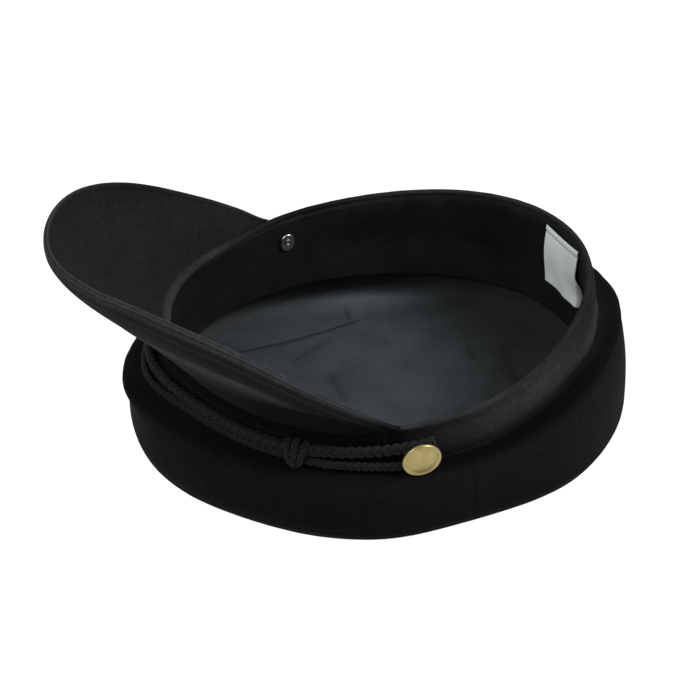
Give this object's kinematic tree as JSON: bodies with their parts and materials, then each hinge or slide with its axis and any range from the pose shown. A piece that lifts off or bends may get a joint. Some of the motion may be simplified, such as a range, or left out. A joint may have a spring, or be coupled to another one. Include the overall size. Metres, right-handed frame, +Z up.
{
  "type": "kepi cap",
  "caption": "Soft cap with a low round crown, straight band, curved stiff peak and a braided cord over the peak held by two round buttons, lying upside down on its crown.",
  "frame": {"origin": "centre of the crown's flat top face, on the surface that the upturned cap rests on", "axes": "+Z up from the crown's flat top to the head opening, -Y to the peak, +X to the side of the nearer button in the picture"},
  "size_m": [0.2084, 0.2777, 0.1222],
  "materials": {
    "cloth": "matt black wool felt with a short nap",
    "lining": "thin smooth dark blue-grey lining cloth",
    "sweatband_cloth": "matt black ribbed cotton",
    "cord": "plaited black yarn, slightly silky",
    "gold_metal": "satin gold plate, plain face",
    "silver_metal": "bright silver plate",
    "label_cloth": "white satin, bare"
  },
  "bodies": {
    "root": {"crown_top": "cloth", "crown_side": "cloth", "crown_lining": "lining", "band": "cloth", "sweatband": "sweatband_cloth", "peak": "cloth", "braided_cord": "cord", "button_right": "gold_metal", "button_left": "gold_metal", "button_back_right": "silver_metal", "button_back_left": "silver_metal", "label": "label_cloth"}
  },
  "joints": []
}
